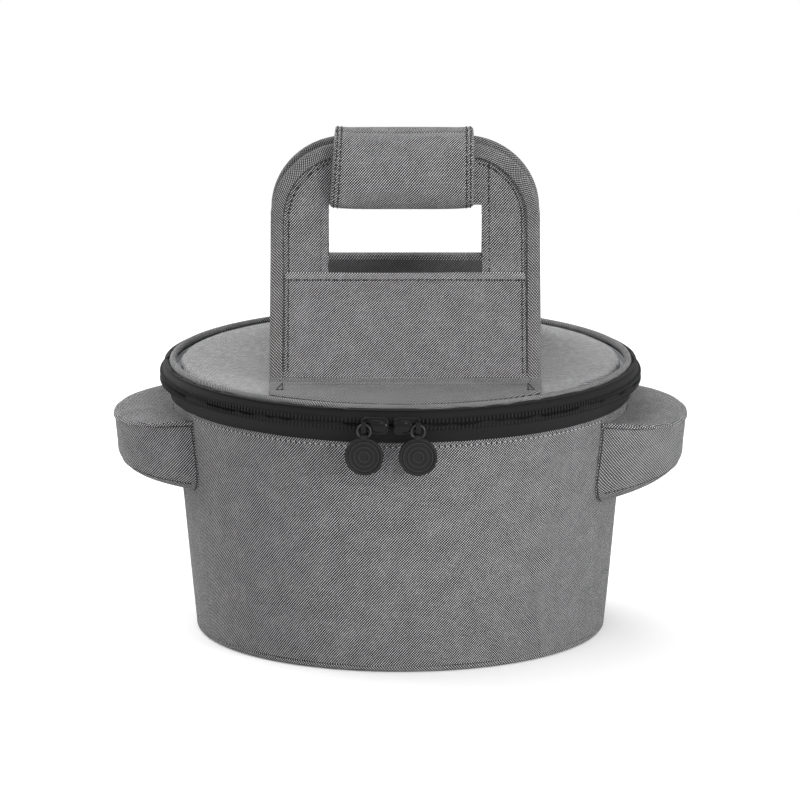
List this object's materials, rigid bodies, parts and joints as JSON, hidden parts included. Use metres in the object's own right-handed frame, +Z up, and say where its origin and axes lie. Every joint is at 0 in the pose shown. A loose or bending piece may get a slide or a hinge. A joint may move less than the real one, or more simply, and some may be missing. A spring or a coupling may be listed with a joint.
{
  "type": "casserole carrier",
  "caption": "Round insulated fabric carrier with a zipped lid, side pockets for a casserole's lugs, and twin handle panels that meet in a padded grip.",
  "frame": {"origin": "centre of the flat foot, on the surface that the carrier stands on", "axes": "+Z up, front (zip sliders) towards -Y, +X to the viewer's right through the right lug pocket"},
  "size_m": [0.357, 0.3052, 0.314],
  "materials": {
    "twill": "two-tone grey twill, matt",
    "foam": "closed-cell insulation foam",
    "lining": "wipe-clean coated lining",
    "board": "stiffening board",
    "zip_tape": "black woven zip tape",
    "zip_coil": "black nylon coil",
    "slider_metal": "black lacquer",
    "pull_rubber": "matt moulded rubber",
    "hook_and_loop": "hook-and-loop tape"
  },
  "bodies": {
    "tub": {"outer_wall_front": "twill", "outer_wall_rear": "twill", "wall_foam": "foam", "wall_lining": "lining", "base_panel": "twill", "base_board": "board", "base_lining": "lining", "base_piping": "twill", "mouth_binding": "zip_tape", "left_lug_pocket_shell": "twill", "left_lug_pocket_top": "twill", "right_lug_pocket_shell": "twill", "right_lug_pocket_top": "twill", "lower_zip_tape": "zip_tape", "lower_zip_coil": "zip_coil", "hinge_gusset": "zip_tape"},
    "lid": {"lid_top_panel": "twill", "lid_foam": "foam", "lid_lining": "lining", "lid_piping": "twill", "upper_zip_tape": "zip_tape", "upper_zip_coil": "zip_coil", "front_handle_base": "twill", "rear_handle_base": "twill"},
    "front_handle": {"front_handle_panel": "twill", "front_handle_binding": "twill", "front_handle_pocket": "twill", "front_grip_foam": "foam", "front_grip_cover": "twill", "grip_hook_strip": "hook_and_loop"},
    "rear_handle": {"rear_handle_panel": "twill", "rear_handle_binding": "twill", "rear_grip_foam": "foam", "rear_grip_cover": "twill", "grip_loop_strip": "hook_and_loop"},
    "left_slider": {"left_zip_slider": "slider_metal"},
    "left_ring": {"left_pull_ring": "slider_metal"},
    "left_disc": {"left_pull_disc": "pull_rubber"},
    "right_slider": {"right_zip_slider": "slider_metal"},
    "right_ring": {"right_pull_ring": "slider_metal"},
    "right_disc": {"right_pull_disc": "pull_rubber"}
  },
  "joints": [
    {"name": "lid_hinge", "type": "hinge", "parent": "tub", "child": "lid", "pos_m": [0, 0.1482, 0.16], "axis": [-1, 0, 0], "range_deg": [0, 100], "deforming": ["hinge_gusset"]},
    {"name": "front_handle_fold", "type": "hinge", "parent": "lid", "child": "front_handle", "pos_m": [0.003, -0.083, 0.172], "axis": [1, 0, 0], "range_deg": [0, 110]},
    {"name": "rear_handle_fold", "type": "hinge", "parent": "lid", "child": "rear_handle", "pos_m": [0.003, 0.083, 0.172], "axis": [-1, 0, 0], "range_deg": [0, 110]},
    {"name": "left_slider_travel", "type": "hinge", "parent": "tub", "child": "left_slider", "pos_m": [0, 0, 0.16], "axis": [0, 0, 1], "range_deg": [-135, 0]},
    {"name": "left_ring_swing", "type": "hinge", "parent": "left_slider", "child": "left_ring", "pos_m": [-0.02196, -0.15342, 0.1612], "axis": [-0.9949, 0.1007, 0], "range_deg": [0, 162]},
    {"name": "left_disc_swing", "type": "hinge", "parent": "left_ring", "child": "left_disc", "pos_m": [-0.02196, -0.15342, 0.1532], "axis": [-0.9949, 0.1007, 0], "range_deg": [-20, 15]},
    {"name": "right_slider_travel", "type": "hinge", "parent": "tub", "child": "right_slider", "pos_m": [0, 0, 0.16], "axis": [0, 0, 1], "range_deg": [0, 135]},
    {"name": "right_ring_swing", "type": "hinge", "parent": "right_slider", "child": "right_ring", "pos_m": [0.01067, -0.15462, 0.1612], "axis": [-0.9996, -0.0276, 0], "range_deg": [0, 162]},
    {"name": "right_disc_swing", "type": "hinge", "parent": "right_ring", "child": "right_disc", "pos_m": [0.01067, -0.15462, 0.1532], "axis": [-0.9996, -0.0276, 0], "range_deg": [-20, 15]}
  ],
  "couplings": [
    {"joint": "left_ring_swing", "follows": "left_slider_travel", "ratio": -1.2},
    {"joint": "right_ring_swing", "follows": "right_slider_travel", "ratio": 1.2}
  ]
}
